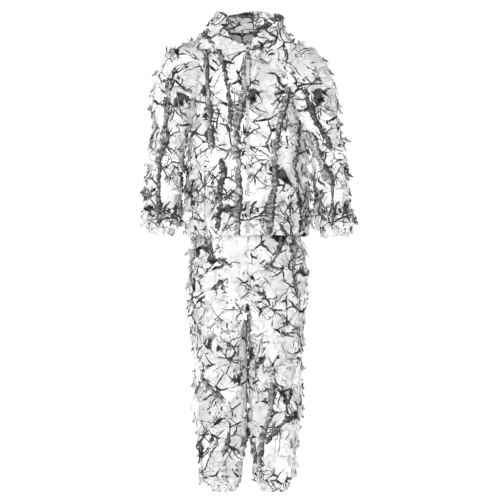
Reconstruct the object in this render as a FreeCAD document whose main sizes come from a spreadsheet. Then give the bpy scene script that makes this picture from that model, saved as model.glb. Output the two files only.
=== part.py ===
# Two-piece hooded ghillie suit in snow camouflage: a zipped, hooded jacket and a pair of
# elastic-waisted trousers, standing in the shape the cloth holds when the suit is worn.
#
# Millimetres. +Z up, the front faces -Y, the wearer's left is +X. The origin is the centre
# of the trousers' waist, 985 mm above the ankle hems; heights below are from that waist.
# Each cloth part is a base cloth with a deeper layer of sewn-on leaves outside it.
# Limbs turn about rounded barrels centred on the shoulder, elbow, hip and knee.
import FreeCAD, Part
import os

doc = FreeCAD.newDocument("GhillieSuit")
sheet = doc.addObject("Spreadsheet::Sheet", "Dims")
values = {}
X_AXIS = FreeCAD.Vector(1, 0, 0)
Y_AXIS = FreeCAD.Vector(0, 1, 0)
Z_AXIS = FreeCAD.Vector(0, 0, 1)


def cell(alias, value):
    """One named dimension of the suit, in millimetres or degrees."""
    line = len(values) + 2
    sheet.set(f"A{line}", alias)
    sheet.set(f"B{line}", str(value))
    sheet.setAlias(f"B{line}", alias)
    values[alias] = value


# General dimensions.
for alias, value in {
    "cloth": 3, "leaf": 7, "elastic": 2, "slack": 1.5, "swing_room": 5,
    "zip_half_gap": 12, "zip_bottom": -118, "zip_lean": 3.205, "zip_front": -124,
    "side_seam": 12, "hem_casing_top": -90,
    "shoulder_x": 195, "shoulder_y": 5, "shoulder_z": 420, "shoulder_round": 95,
    "shoulder_half": 66, "armhole_x": 122,
    "elbow_x": 273, "elbow_y": 5, "elbow_z": 171, "elbow_round": 66.5, "elbow_half": 47.5,
    "elbow_mouth": 62,
    "hip_x": 103, "hip_y": 0, "hip_z": -330, "hip_round": 103, "hip_half": 88.3,
    "hip_mouth": 95,
    "knee_x": 95, "knee_y": 3, "knee_z": -662, "knee_round": 88.4, "knee_half": 78.6,
    "knee_mouth": 80,
}.items():
    cell(alias, value)

# Rings of each tube of cloth, inner face: height, centre across, centre fore and aft,
# half width, half depth.
RINGS = {
    "torso": [
        (-118, 0, -2, 192, 122), (-85, 0, 7.8, 202, 130), (15, 0, 11.4, 202, 128),
        (165, 0, 15.8, 197, 124), (290, 0, 16.8, 190, 118), (415, 0, 11.8, 186, 106),
        (475, 0, 7.2, 176, 98), (525, 0, 5, 158, 93),
    ],
    "collar": [(527, 0, 4, 156, 92), (565, 0, 1, 136, 85), (601, 0, -4, 112, 76)],
    "hood": [
        (395, 0, 167, 66, 19), (435, 0, 165, 98, 27), (495, 0, 160, 118, 33),
        (560, 0, 152, 126, 40), (615, 0, 147, 112, 39), (652, 0, 143, 92, 35),
    ],
    "sleeve": [
        (241, 260, 5, 44, 64), (290, 248, 5, 48, 66), (345, 234, 5, 62, 68),
        (420, 212, 5, 66, 69),
    ],
    "forearm": [
        (-90, 293, 3, 40, 46), (-55, 290, 4, 50, 58), (35, 283, 5, 52, 62),
        (171, 273, 5, 50, 64),
    ],
    "cuff": [(-113, 295, 2, 34, 40), (-90, 293, 3, 40, 46)],
    "seat": [
        (-245, 0, 0, 195, 110), (-180, 0, -1, 191, 109), (-118, 0, -3, 174, 104),
        (-55, 0, -3, 166, 103), (-20, 0, -2, 160, 101),
    ],
    "waistband": [(-20, 0, -2, 160, 101), (15, 0, -2, 155, 98)],
    "thigh": [
        (-576, 94.5, 2, 81.5, 89), (-478, 95, 1, 82, 91), (-400, 98, 0, 86, 93),
        (-330, 103, 0, 90.5, 95),
    ],
    "shin": [
        (-955, 84, 6, 45, 49), (-914, 90, 6, 62, 68), (-859, 90, 5, 72, 78),
        (-805, 89, 4, 76, 82), (-696, 95, 3, 82, 86), (-662, 95, 3, 81, 86),
    ],
    "ankle": [(-985, 82, 6, 36, 40), (-955, 84, 6, 45, 49)],
}
TURNED = ("sleeve", "forearm", "cuff", "thigh", "shin", "ankle")
for tube_name, rings in RINGS.items():
    for number, (up, out, mid, wide, deep) in enumerate(rings):
        key = f"{tube_name}_{number}"
        cell(key + "_up", up)
        cell(key + "_out", out)
        cell(key + "_mid", mid)
        cell(key + "_wide", wide)
        cell(key + "_deep", deep)


def fresh(kind, name):
    """A new document object of the given kind."""
    return doc.addObject(kind, name)


def bind(thing, **sizes):
    """Bind properties of an object to cells; a double underscore stands for a dot."""
    for prop, rule in sizes.items():
        thing.setExpression(prop.replace("__", "."), rule)


def tube(tube_name, grow, tag):
    """A smooth closed solid through all rings of a tube, grown outward by `grow`."""
    sections = []
    turned = tube_name in TURNED
    for number in range(len(RINGS[tube_name])):
        key = f"Dims.{tube_name}_{number}"
        ring = fresh("Part::Ellipse", f"Ring_{tube_name}_{tag}_{number}")
        wide = f"{key}_wide + {grow}"
        deep = f"{key}_deep + {grow}"
        if turned:
            ring.Placement.Rotation = FreeCAD.Rotation(Z_AXIS, 90)
            bind(ring, MajorRadius=deep, MinorRadius=wide)
        else:
            bind(ring, MajorRadius=wide, MinorRadius=deep)
        bind(ring, Placement__Base__x=f"{key}_out", Placement__Base__y=f"{key}_mid",
             Placement__Base__z=f"{key}_up")
        sections.append(ring)
    loft = fresh("Part::Loft", f"Tube_{tube_name}_{tag}")
    loft.Sections = sections
    loft.Solid = True
    loft.Ruled = len(sections) == 2
    return loft


def barrel(place, grow, tag):
    """A cylinder with rounded rims, centred on a limb's pivot and lying along its axis."""
    cylinder = fresh("Part::Cylinder", f"Barrel_{place}_{tag}")
    along = Y_AXIS if place == "shoulder" else X_AXIS
    if place == "shoulder":
        cylinder.Placement.Rotation = FreeCAD.Rotation(X_AXIS, -90)
    else:
        cylinder.Placement.Rotation = FreeCAD.Rotation(Y_AXIS, 90)
    half = f"(Dims.{place}_half + {grow})"
    bind(cylinder, Radius=f"Dims.{place}_round + {grow}", Height=f"2 * {half}",
         Placement__Base__z=f"Dims.{place}_z")
    if along is Y_AXIS:
        bind(cylinder, Placement__Base__x=f"Dims.{place}_x",
             Placement__Base__y=f"Dims.{place}_y - {half}")
    else:
        bind(cylinder, Placement__Base__x=f"Dims.{place}_x - {half}",
             Placement__Base__y=f"Dims.{place}_y")
    doc.recompute()
    rim = 0.45 * values[f"{place}_round"]
    rounded = fresh("Part::Fillet", f"Rounded_{place}_{tag}")
    rounded.Base = cylinder
    rounded.Edges = [(1, rim, rim), (3, rim, rim)]
    return rounded


def cut(base, tool, name):
    made = fresh("Part::Cut", name)
    made.Base = base
    made.Tool = tool
    return made


def fuse(name, *shapes):
    made = fresh("Part::MultiFuse", name)
    made.Shapes = list(shapes)
    return made


def common(base, tool, name):
    made = fresh("Part::Common", name)
    made.Base = base
    made.Tool = tool
    return made


def mirror(source, name):
    """The wearer's right-hand twin of a left-hand shape."""
    made = fresh("Part::Mirroring", name)
    made.Source = source
    made.Normal = X_AXIS
    made.Base = FreeCAD.Vector(0, 0, 0)
    return made


def block(name, x, y, z):
    """A box between three (low, high) pairs of rules."""
    box = fresh("Part::Box", name)
    for low_high, size, axis in ((x, "Length", "x"), (y, "Width", "y"), (z, "Height", "z")):
        low, high = low_high
        box.setExpression(size, f"({high}) - ({low})")
        box.setExpression(f"Placement.Base.{axis}", low)
    return box


NODES = []


def node(made, label):
    """Mark an object as a finished piece of the suit."""
    made.Label = label
    NODES.append(made)
    return made


def pair(made, stem):
    """A left-hand piece and its right-hand twin."""
    node(made, stem + "_left")
    node(mirror(made, stem + "_twin"), stem + "_right")
    return made


BASE = "0"
CLOTH = "Dims.cloth"
LEAF = "Dims.cloth + Dims.leaf"
WIDE = ("-600", "600")

# ---- Sleeves: barrel at the shoulder, tube down to the elbow --------------------------
arm_inner = fuse("ArmInner", barrel("shoulder", BASE, "in"), tube("sleeve", BASE, "in"))
arm_mid = fuse("ArmMid", barrel("shoulder", CLOTH, "mid"), tube("sleeve", CLOTH, "mid"))
arm_outer = fuse("ArmOuter", barrel("shoulder", LEAF, "out"), tube("sleeve", LEAF, "out"))
elbow_clear = barrel("elbow", LEAF + " + Dims.slack", "clear")
armhole = block("Armhole", ("0", "Dims.armhole_x"), WIDE, ("0", "700"))


def sleeve_layer(outside, inside, name):
    shell = cut(outside, inside, name + "Shell")
    shell = cut(shell, elbow_clear, name + "Elbow")
    return cut(shell, armhole, name + "Open")


pair(sleeve_layer(arm_mid, arm_inner, "Sleeve"), "sleeve")
pair(sleeve_layer(arm_outer, arm_mid, "SleeveLeaf"), "sleeve_leaves")

# ---- Forearms: barrel at the elbow, tube down to the gathered cuff --------------------
fore_inner = fuse("ForeInner", barrel("elbow", BASE, "in"), tube("forearm", BASE, "in"))
fore_mid = fuse("ForeMid", barrel("elbow", CLOTH, "mid"), tube("forearm", CLOTH, "mid"))
fore_outer = fuse("ForeOuter", barrel("elbow", LEAF, "out"), tube("forearm", LEAF, "out"))
elbow_open = block("ElbowOpen", ("100", "500"), WIDE, ("Dims.elbow_z + Dims.elbow_mouth", "400"))


def forearm_layer(outside, inside, name):
    return cut(cut(outside, inside, name + "Shell"), elbow_open, name + "Open")


pair(forearm_layer(fore_mid, fore_inner, "Forearm"), "forearm")
pair(forearm_layer(fore_outer, fore_mid, "ForearmLeaf"), "forearm_leaves")
cuff_in = tube("cuff", BASE, "in")
pair(cut(tube("cuff", CLOTH, "mid"), cuff_in, "CuffCasing"), "cuff_casing")
cuff_band = cut(cuff_in, tube("cuff", "-Dims.elastic", "band"), "CuffBand")
cuff_zone = block("CuffZone", WIDE, WIDE, ("-109", "-94"))
pair(common(cuff_band, cuff_zone, "CuffElastic"), "cuff_elastic")

# ---- Jacket body: fronts, back, hem ---------------------------------------------------
torso_in = tube("torso", BASE, "in")
torso_mid = tube("torso", CLOTH, "mid")
torso_out = tube("torso", LEAF, "out")
arm_clear = fuse("ArmClear", barrel("shoulder", LEAF + " + Dims.slack", "clear"),
                 tube("sleeve", LEAF + " + Dims.swing_room", "clear"))
arms_clear = fuse("ArmsClear", arm_clear, mirror(arm_clear, "ArmClearTwin"))
jacket_cloth = cut(cut(torso_mid, torso_in, "JacketShell"), arms_clear, "JacketCloth")
jacket_leaf = cut(cut(torso_out, torso_mid, "JacketLeafShell"), arms_clear, "JacketLeaf")
body_height = ("Dims.hem_casing_top", "700")
front_zone = block("FrontZone", ("Dims.zip_half_gap", "600"), ("-600", "Dims.side_seam"),
                   body_height)
back_zone = block("BackZone", WIDE, ("Dims.side_seam", "600"), body_height)
pair(common(jacket_cloth, front_zone, "FrontPanel"), "front_panel")
pair(common(jacket_leaf, front_zone, "FrontLeaves"), "front_leaves")
node(common(jacket_cloth, back_zone, "BackPanel"), "back_panel")
node(common(jacket_leaf, back_zone, "BackLeaves"), "back_leaves")
hem_zone = block("HemZone", WIDE, WIDE, ("-200", "Dims.hem_casing_top"))
zip_gap = block("ZipGap", ("-Dims.zip_half_gap", "Dims.zip_half_gap"), ("-600", "0"),
                ("-200", "700"))
hem_ring = common(jacket_cloth, hem_zone, "HemRing")
node(cut(hem_ring, zip_gap, "HemCasing"), "hem_casing")
hem_band = cut(torso_in, tube("torso", "-Dims.elastic", "band"), "HemBand")
band_zone = block("BandZone", WIDE, WIDE, ("-114", "-94"))
node(cut(common(hem_band, band_zone, "HemBandCut"), zip_gap, "HemElastic"), "hem_elastic")

# ---- Collar that carries the hood, open in a V at the front ---------------------------
collar_in = tube("collar", BASE, "in")
collar_mid = tube("collar", CLOTH, "mid")
collar_out = tube("collar", LEAF, "out")
vee = fresh("Part::Wedge", "Vee")
for prop, size in {"Xmin": -9, "Xmax": 9, "X2min": -66, "X2max": 66, "Ymin": 0,
                   "Ymax": 80, "Zmin": 0, "Zmax": 160, "Z2min": 0, "Z2max": 160}.items():
    setattr(vee, prop, size)
vee.Placement = FreeCAD.Placement(FreeCAD.Vector(0, 0, 526), FreeCAD.Rotation(X_AXIS, 90))
collar_half = block("CollarHalf", ("0", "400"), WIDE, ("500", "700"))
collar_cloth = cut(cut(collar_mid, collar_in, "CollarShell"), vee, "CollarOpen")
pair(common(collar_cloth, collar_half, "CollarSide"), "collar")
node(cut(cut(collar_out, collar_mid, "CollarLeafShell"), vee, "CollarLeaves"),
     "collar_leaves")

# ---- Hood, thrown back: a bag behind the neck with its mouth up -----------------------
hood_in = tube("hood", BASE, "in")
hood_mid_wall = tube("hood", CLOTH, "mid")
hood_out_wall = tube("hood", LEAF, "out")
hood_floor = fresh("Part::Ellipse", "HoodFloor")
bind(hood_floor, MajorRadius="Dims.hood_0_wide + Dims.cloth",
     MinorRadius="Dims.hood_0_deep + Dims.cloth", Placement__Base__y="Dims.hood_0_mid",
     Placement__Base__z="Dims.hood_0_up - Dims.cloth")
hood_floor_low = fresh("Part::Ellipse", "HoodFloorLow")
bind(hood_floor_low, MajorRadius="Dims.hood_0_wide + Dims.cloth",
     MinorRadius="Dims.hood_0_deep + Dims.cloth", Placement__Base__y="Dims.hood_0_mid",
     Placement__Base__z="Dims.hood_0_up")
floor_plug = fresh("Part::Loft", "FloorPlug")
floor_plug.Sections = [hood_floor, hood_floor_low]
floor_plug.Solid = True
hood_cloth = fuse("HoodCloth", cut(hood_mid_wall, hood_in, "HoodShell"), floor_plug)
hood_half = block("HoodHalf", ("0", "400"), WIDE, ("300", "700"))
pair(common(hood_cloth, hood_half, "HoodSide"), "hood_panel")
hood_leaf = cut(hood_out_wall, hood_mid_wall, "HoodLeafShell")
hood_back = block("HoodBack", WIDE, ("Dims.hood_5_mid", "600"), ("300", "700"))
node(common(hood_leaf, hood_back, "HoodLeaves"), "hood_leaves")

# ---- Trousers' seat and waist ---------------------------------------------------------
hip_clear = barrel("hip", LEAF + " + Dims.slack", "clear")
hips_clear = fuse("HipsClear", hip_clear, mirror(hip_clear, "HipClearTwin"))
seat_in = tube("seat", BASE, "in")
seat_mid = tube("seat", CLOTH, "mid")
seat_out = tube("seat", LEAF, "out")
seat_cloth = cut(cut(seat_mid, seat_in, "SeatShell"), hips_clear, "SeatCloth")
seat_leaf = cut(cut(seat_out, seat_mid, "SeatLeafShell"), hips_clear, "SeatLeafCut")
seat_half = block("SeatHalf", ("0", "400"), WIDE, ("-300", "100"))
pair(common(seat_cloth, seat_half, "SeatSide"), "seat_panel")
node(seat_leaf, "seat_leaves")
waist_in = tube("waistband", BASE, "in")
node(cut(tube("waistband", CLOTH, "mid"), waist_in, "Waistband"), "waistband")
waist_ring = cut(waist_in, tube("waistband", "-Dims.elastic", "band"), "WaistRing")
waist_zone = block("WaistZone", WIDE, WIDE, ("-16", "11"))
node(common(waist_ring, waist_zone, "WaistElastic"), "waist_elastic")

# ---- Trouser legs ---------------------------------------------------------------------
leg_inner = fuse("LegInner", barrel("hip", BASE, "in"), tube("thigh", BASE, "in"))
leg_mid = fuse("LegMid", barrel("hip", CLOTH, "mid"), tube("thigh", CLOTH, "mid"))
leg_outer = fuse("LegOuter", barrel("hip", LEAF, "out"), tube("thigh", LEAF, "out"))
hip_open = block("HipOpen", ("-50", "400"), WIDE, ("Dims.hip_z + Dims.hip_mouth", "100"))
knee_clear = barrel("knee", LEAF + " + Dims.slack", "clear")


def thigh_layer(outside, inside, name):
    shell = cut(outside, inside, name + "Shell")
    shell = cut(shell, knee_clear, name + "Knee")
    return cut(shell, hip_open, name + "Open")


pair(thigh_layer(leg_mid, leg_inner, "Thigh"), "thigh")
pair(thigh_layer(leg_outer, leg_mid, "ThighLeaf"), "thigh_leaves")
shin_inner = fuse("ShinInner", barrel("knee", BASE, "in"), tube("shin", BASE, "in"))
shin_mid = fuse("ShinMid", barrel("knee", CLOTH, "mid"), tube("shin", CLOTH, "mid"))
shin_outer = fuse("ShinOuter", barrel("knee", LEAF, "out"), tube("shin", LEAF, "out"))
knee_open = block("KneeOpen", ("-50", "400"), WIDE, ("Dims.knee_z + Dims.knee_mouth", "-400"))


def shin_layer(outside, inside, name):
    return cut(cut(outside, inside, name + "Shell"), knee_open, name + "Open")


pair(shin_layer(shin_mid, shin_inner, "Shin"), "shin")
pair(shin_layer(shin_outer, shin_mid, "ShinLeaf"), "shin_leaves")
ankle_in = tube("ankle", BASE, "in")
pair(cut(tube("ankle", CLOTH, "mid"), ankle_in, "AnkleCasing"), "ankle_casing")
ankle_ring = cut(ankle_in, tube("ankle", "-Dims.elastic", "band"), "AnkleRing")
ankle_zone = block("AnkleZone", WIDE, WIDE, ("-981", "-962"))
pair(common(ankle_ring, ankle_zone, "AnkleElastic"), "ankle_elastic")

# ---- Hanger loop inside the back of the neck ------------------------------------------
def role_plane(body, role):
    return [part for part in body.Origin.OriginFeatures if part.Role == role][0]


def closed_sketch(body, name, role, points):
    """A closed outline of straight edges on one of a body's own origin planes."""
    sketch = body.newObject("Sketcher::SketchObject", name)
    sketch.AttachmentSupport = (role_plane(body, role), [""])
    sketch.MapMode = "FlatFace"
    corners = [FreeCAD.Vector(a, b, 0) for a, b in points]
    for start, end in zip(corners, corners[1:] + corners[:1]):
        sketch.addGeometry(Part.LineSegment(start, end), False)
    return sketch


def padded_body(name, role, points, length, both=False):
    """A PartDesign body padded from a closed outline."""
    body = fresh("PartDesign::Body", name)
    sketch = closed_sketch(body, name + "Outline", role, points)
    pad = body.newObject("PartDesign::Pad", name + "Pad")
    pad.Profile = sketch
    pad.Length = length
    pad.Midplane = both
    body.Tip = pad
    return body


cell("loop_height", 8)
loop = padded_body("HangerStrip", "XY_Plane",
                   [(-30, 98), (-30, 74), (30, 74), (30, 98), (22, 98), (22, 76),
                    (-22, 76), (-22, 98)], 8)
loop.Placement = FreeCAD.Placement(FreeCAD.Vector(0, 1, 552), FreeCAD.Rotation())
loop.Tip.setExpression("Length", "Dims.loop_height")
node(common(loop, tube("collar", BASE, "loop"), "HangerLoop"), "hanger_loop")

# ---- Front zip, all parts on one straight leaning line --------------------------------
cell("zip_length", 643)
cell("chain_half", 3.4)
cell("chain_gap", 0.8)
cell("chain_thick", 2.4)
ZIP = FreeCAD.Placement(FreeCAD.Vector(0, values["zip_front"], values["zip_bottom"]),
                        FreeCAD.Rotation(X_AXIS, -values["zip_lean"]))


def zip_block(name, x, y, z):
    """A box in the zip's own frame: across, through the cloth, and up the zip."""
    box = fresh("Part::Box", name)
    for size, low_high in (("Length", x), ("Width", y), ("Height", z)):
        box.setExpression(size, f"({low_high[1]}) - ({low_high[0]})")
    low = FreeCAD.Vector(float(x[0]), float(y[0]), float(z[0]))
    box.Placement = ZIP.multiply(FreeCAD.Placement(low, FreeCAD.Rotation()))
    return box


pair(zip_block("ZipTape", ("3.4", "12"), ("-1.5", "-0.5"), ("0", "Dims.zip_length")),
     "zip_tape")
pair(zip_block("ZipChain", ("0.8", "3.4"), ("-2.2", "0.2"), ("10", "Dims.zip_length - 10")),
     "zip_chain")
stop_left = zip_block("StopLeft", ("0.8", "3.4"), ("-2.8", "0.8"), ("635", "641"))
node(fuse("TopStops", stop_left, mirror(stop_left, "StopRight")), "zip_top_stops")
node(zip_block("EndBox", ("-3.4", "3.4"), ("-3.2", "1.2"), ("0", "9")), "zip_end_box")
node(zip_block("WindFlap", ("-20", "20"), ("2.6", "3.8"), ("12", "636")), "wind_flap")

# Slider: two plates either side of the chain, joined by a thin divider, with two ears
# and a cross pin in front for the pull.
plate_front = zip_block("PlateFront", ("-5.6", "5.6"), ("-3.8", "-2.6"), ("621", "633"))
plate_back = zip_block("PlateBack", ("-5.6", "5.6"), ("0.6", "1.8"), ("621", "633"))
divider = zip_block("Divider", ("-0.4", "0.4"), ("-2.6", "0.6"), ("626", "633"))
ear_left = zip_block("EarLeft", ("2.5", "3.7"), ("-7.2", "-3.8"), ("625", "631"))
ear_right = mirror(ear_left, "EarRight")
pin = fresh("Part::Cylinder", "Pin")
pin.Radius = 0.8
pin.Height = 7.4
pin.Placement = ZIP.multiply(FreeCAD.Placement(FreeCAD.Vector(-3.7, -5.9, 628),
                                               FreeCAD.Rotation(Y_AXIS, 90)))
node(fuse("Slider", plate_front, plate_back, divider, ear_left, ear_right, pin),
     "zip_slider")

# Pull: an eye round the pin, a neck and a long tab that hangs down the front.
eye = fresh("Part::Cylinder", "Eye")
eye.Radius = 2
eye.Height = 4.2
eye.Placement = ZIP.multiply(FreeCAD.Placement(FreeCAD.Vector(-2.1, -5.9, 628),
                                               FreeCAD.Rotation(Y_AXIS, 90)))
eye_hole = fresh("Part::Cylinder", "EyeHole")
eye_hole.Radius = 1.1
eye_hole.Height = 6
eye_hole.Placement = ZIP.multiply(FreeCAD.Placement(FreeCAD.Vector(-3, -5.9, 628),
                                                    FreeCAD.Rotation(Y_AXIS, 90)))
neck = zip_block("PullNeck", ("-2.1", "2.1"), ("-6.7", "-5.1"), ("618", "627"))
tab = zip_block("PullTab", ("-4", "4"), ("-6.7", "-5.1"), ("592", "619"))
tab_hole = zip_block("PullHole", ("-2", "2"), ("-8", "-4"), ("596", "606"))
pull = fuse("PullSolid", eye, neck, tab)
node(cut(cut(pull, eye_hole, "PullEyed"), tab_hole, "Pull"), "zip_pull")

# ---- Check every object, then write one file for each piece ---------------------------
doc.recompute()
for thing in doc.Objects:
    if "Invalid" in thing.State or "Error" in thing.State:
        raise RuntimeError(f"{thing.Name} failed: {thing.State}")
os.makedirs("parts", exist_ok=True)
for piece in NODES:
    shape = piece.Shape
    if shape.isNull() or not shape.isValid() or shape.Volume <= 0:
        raise RuntimeError(f"{piece.Label} has no valid shape")
    shape.exportStep(f"parts/{piece.Label}.step")
    box = shape.BoundBox
    print(f"{piece.Label:22s} solids {len(shape.Solids)} volume {shape.Volume:10.0f} "
          f"x {box.XMin:7.1f} {box.XMax:7.1f} y {box.YMin:7.1f} {box.YMax:7.1f} "
          f"z {box.ZMin:7.1f} {box.ZMax:7.1f}")
print(len(NODES), "nodes")
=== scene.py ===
# Snow-camouflage ghillie suit: printed cloth shells, cut-leaf flaps, gathered hems and a front zip.
import math
import bpy
import numpy as np
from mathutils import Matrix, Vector


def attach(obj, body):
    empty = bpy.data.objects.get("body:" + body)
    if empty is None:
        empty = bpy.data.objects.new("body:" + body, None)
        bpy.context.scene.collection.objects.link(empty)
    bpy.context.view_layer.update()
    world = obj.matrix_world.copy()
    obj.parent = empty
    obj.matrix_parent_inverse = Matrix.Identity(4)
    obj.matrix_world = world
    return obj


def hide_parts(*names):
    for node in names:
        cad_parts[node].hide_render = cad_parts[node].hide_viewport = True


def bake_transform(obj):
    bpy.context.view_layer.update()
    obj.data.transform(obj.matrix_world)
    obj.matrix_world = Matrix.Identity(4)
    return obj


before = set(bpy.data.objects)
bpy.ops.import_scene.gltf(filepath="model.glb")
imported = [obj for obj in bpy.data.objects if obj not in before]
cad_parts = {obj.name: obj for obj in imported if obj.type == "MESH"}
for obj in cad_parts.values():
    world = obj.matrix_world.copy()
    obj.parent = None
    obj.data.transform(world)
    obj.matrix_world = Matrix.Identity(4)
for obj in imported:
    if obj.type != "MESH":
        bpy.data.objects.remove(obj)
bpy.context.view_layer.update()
TAU = 2 * math.pi

# ------------------------------------------------------------------ curves, folds and noise


def curve(xs, ys, x):
    """A smooth curve through points with rising xs that never overshoots them."""
    xs, ys, x = (np.asarray(v, float) for v in (xs, ys, x))
    step = np.diff(xs)
    rise = np.diff(ys) / step
    slope = np.zeros(len(xs))
    both = rise[:-1] * rise[1:]
    slope[1:-1] = np.where(both > 0, 2 * both / np.where(both > 0, rise[:-1] + rise[1:], 1), 0)
    slope[0], slope[-1] = rise[0], rise[-1]
    i = np.clip(np.searchsorted(xs, x) - 1, 0, len(step) - 1)
    t = np.clip((x - xs[i]) / step[i], 0, 1)
    low = (1 + 2 * t) * (1 - t) ** 2 * ys[i] + t * (1 - t) ** 2 * step[i] * slope[i]
    return low + t * t * (3 - 2 * t) * ys[i + 1] + t * t * (t - 1) * step[i] * slope[i + 1]


def ease(x, low, high):
    t = np.clip((np.asarray(x, float) - low) / (high - low), 0, 1)
    return t * t * (3 - 2 * t)


def waves(points, seed, size, stretch=(1, 1, 1), count=6, crease=0.5):
    """Seeded folds between about -1 and 1; stretch above 1 packs them closer along that axis."""
    r = np.random.RandomState(seed)
    total = np.zeros(points.shape[:-1])
    for _ in range(count):
        k = r.normal(size=3)
        k = k / np.linalg.norm(k) * np.array(stretch) * TAU / (size * r.uniform(0.7, 1.5))
        bend = r.normal(size=3) * 1.6 / size
        s = np.sin(points @ k + r.uniform(0, TAU) + 1.1 * np.sin(points @ bend + r.uniform(0, TAU)))
        total += (1 - crease) * s + crease * (1 - 2 * np.abs(s))
    return total / math.sqrt(count)


# ------------------------------------------------------------------ grids of cloth

# Rings of the body parts: height, centre across, centre fore and aft, half width, half depth.
TORSO = [(-.118, 0, -.002, .192, .122), (-.104, 0, .004, .201, .131), (-.085, 0, .0078, .205, .133),
         (.015, 0, .0114, .203, .129), (.165, 0, .0158, .197, .124), (.290, 0, .0168, .190, .118),
         (.415, 0, .0118, .186, .106), (.475, 0, .0072, .176, .098), (.525, 0, .005, .160, .093)]
PELVIS = [(-.36, 0, 0, .196, .104), (-.245, 0, 0, .199, .113), (-.18, 0, -.001, .195, .112),
          (-.118, 0, -.003, .177, .107), (-.02, 0, -.002, .163, .104), (.015, 0, -.002, .158, .101)]
LEG = [(-.985, .082, .006, .040, .044), (-.968, .083, .006, .041, .045), (-.955, .085, .006, .054, .057),
       (-.935, .088, .006, .066, .069), (-.900, .090, .006, .072, .076), (-.859, .090, .005, .076, .082),
       (-.805, .087, .004, .084, .086), (-.696, .0925, .003, .0890, .090), (-.576, .0915, .002, .0885, .093),
       (-.478, .0922, .001, .0890, .095), (-.400, .0965, 0, .0930, .097), (-.28, .104, 0, .094, .101)]
ARM = [(0, .120, .470, .070, .062), (1, .165, .452, .092, .070), (2, .205, .415, .094, .075),
       (3, .232, .350, .080, .076), (4, .248, .280, .066, .075), (5, .262, .220, .058, .073),
       (6, .273, .171, .057, .071), (7, .280, .090, .058, .069), (8, .285, .010, .059, .068),
       (9, .290, -.055, .058, .064), (10, .2925, -.080, .055, .058), (11, .294, -.095, .045, .050),
       (12, .295, -.113, .041, .045)]


def ring(table, z):
    cols = np.array(table).T
    return [curve(cols[0], cols[i], z) for i in range(1, 5)]


def normals(P, wrap):
    du = np.roll(P, -1, 1) - np.roll(P, 1, 1) if wrap else np.gradient(P, axis=1)
    n = np.cross(np.gradient(P, axis=0), du)
    return n / np.maximum(np.linalg.norm(n, axis=2, keepdims=True), 1e-9)


class Grid:
    """Rows of points from top to bottom; pq holds each point's place on the printed cloth."""

    def __init__(self, P, pq, wrap):
        self.P, self.pq, self.wrap = P, pq, wrap
        self.N = normals(P, wrap)

    def push(self, amount):
        self.P = self.P + self.N * np.asarray(amount)[..., None]
        self.N = normals(self.P, self.wrap)
        return self

    def part(self, rows=None, cols=None):
        rows = rows or (0, len(self.P) - 1)
        whole = cols is None
        cols = cols or (0, self.P.shape[1] - 1)
        sub = Grid.__new__(Grid)
        r, c = slice(rows[0], rows[1] + 1), slice(cols[0], cols[1] + 1)
        sub.P, sub.pq, sub.N = self.P[r, c], self.pq[r, c], self.N[r, c]
        sub.wrap = self.wrap and whole
        return sub


# ------------------------------------------------------------------ the print: strokes on the cloth


def stroke(points, half, tone, side=1):
    """points: (across, height) on the cloth; half: half width; tone: 0 dark to 1 light; side: shaded edge."""
    return np.array(points, float), half, tone, side


TWIG_HALF, TWIG_THINNING = 0.006, 0.66  # strokes up to this half width are twigs, drawn thinner


def on_front(grid, rows, half, tone, side=1):
    """A stroke given as seen from the front, laid onto the cloth of a grid."""
    flat, cloth = grid.P.reshape(-1, 3), grid.pq.reshape(-1, 2)
    facing = (grid.N.reshape(-1, 3)[:, 1] < -0.05) & (np.abs(cloth[:, 0]) < 0.33)
    flat, cloth = flat[facing][:, ::2], cloth[facing]
    made = []
    for (x0, z0), (x1, z1) in zip(rows, rows[1:]):
        steps = max(1, int(math.hypot(x1 - x0, z1 - z0) / 0.02))
        for k in range(steps + (1 if (x1, z1) == tuple(rows[-1]) else 0)):
            want = np.array([x0 + (x1 - x0) * k / steps, z0 + (z1 - z0) * k / steps])
            far = np.linalg.norm(flat - want, axis=1)
            near = np.argpartition(far, 4)[:4]
            weight = 1 / (far[near] + 1e-4) ** 2
            made.append((cloth[near] * weight[:, None]).sum(0) / weight.sum())
    return stroke(made, half if half > TWIG_HALF else half * TWIG_THINNING, tone, side)


def wood(seed, low, high, places, gap=0.055, size=1.0):
    """A seeded row of wandering trunks across the cloth, with side branches."""
    r = np.random.RandomState(seed)
    made = []
    p, last = places
    while p < last:
        top = high - r.uniform(0, 0.25) * (high - low)
        end = low + r.uniform(0, 0.3) * (high - low)
        lean, swing = r.uniform(-0.10, 0.10), r.uniform(0.004, 0.014)
        line = [(p + lean * (q - low) + swing * math.sin(9 * q + p * 60), q)
                for q in np.linspace(top, end, 7)]
        made.append(stroke(line, r.uniform(0.006, 0.014) * size, r.uniform(0.1, 0.9), r.choice([-1, 1])))
        for x, q in line[1:-1]:
            way, reach = r.choice([-1, 1]), r.uniform(0.03, 0.07)
            up = r.uniform(-0.02, 0.06)
            made.append(stroke([(x, q), (x + way * reach * 0.5, q + up * 0.7), (x + way * reach, q + up)],
                               r.uniform(0.0022, 0.0042), 0.1))
        p += gap * r.uniform(0.6, 1.5)
    return made


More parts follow.
